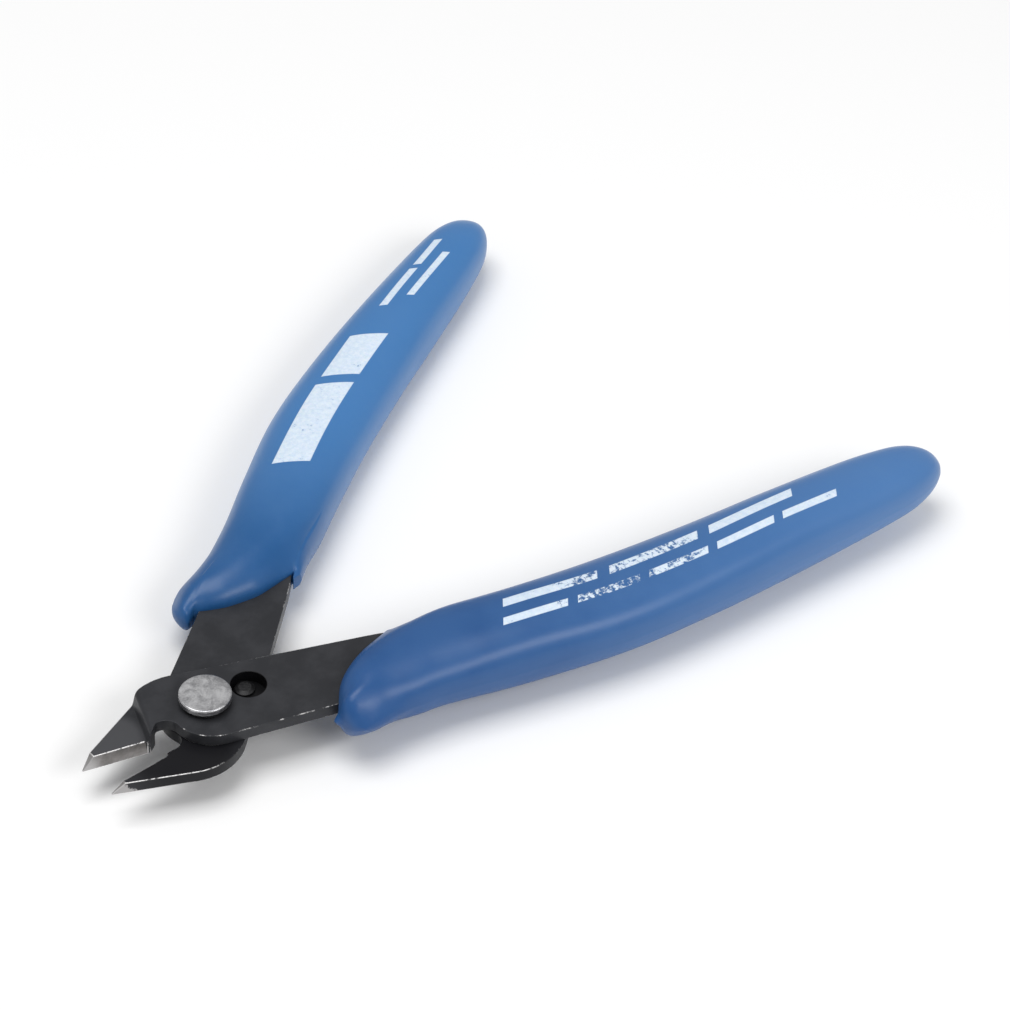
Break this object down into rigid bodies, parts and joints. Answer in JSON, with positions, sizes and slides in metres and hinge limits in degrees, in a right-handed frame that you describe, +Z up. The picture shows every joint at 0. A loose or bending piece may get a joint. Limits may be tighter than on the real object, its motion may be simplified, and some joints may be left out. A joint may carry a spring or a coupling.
{
  "type": "flush cutter",
  "caption": "Small hand cutter with riveted steel levers, angled flush-ground jaws, an internal return spring and dipped blue vinyl grips.",
  "frame": {"origin": "on the pivot axis, at the flat underside of the rivet's lower head", "axes": "+X from the pivot between the two handles, along the tool; +Z up along the rivet; +Y towards the lower lever's handle"},
  "size_m": [0.1232, 0.092, 0.0128],
  "materials": {
    "lever_steel": "black oxide, satin",
    "grip_vinyl": "dipped vinyl, satin",
    "rivet_steel": "bright",
    "black_steel": "black oxide",
    "spring_wire": "drawn wire"
  },
  "bodies": {
    "lower_half": {"lower_lever": "lever_steel", "lower_grip": "grip_vinyl", "pivot_rivet": "rivet_steel", "rivet_washer": "black_steel", "stop_pin": "black_steel", "return_spring": "spring_wire"},
    "upper_half": {"upper_lever": "lever_steel", "upper_grip": "grip_vinyl"}
  },
  "joints": [
    {"name": "pivot", "type": "hinge", "parent": "lower_half", "child": "upper_half", "pos_m": [0, 0, 0.003], "axis": [0, 0, 1], "range_deg": [0, 17], "stiffness_Nm_per_rad": 0.6, "springref_deg": -34.38, "deforming": ["return_spring"]}
  ]
}
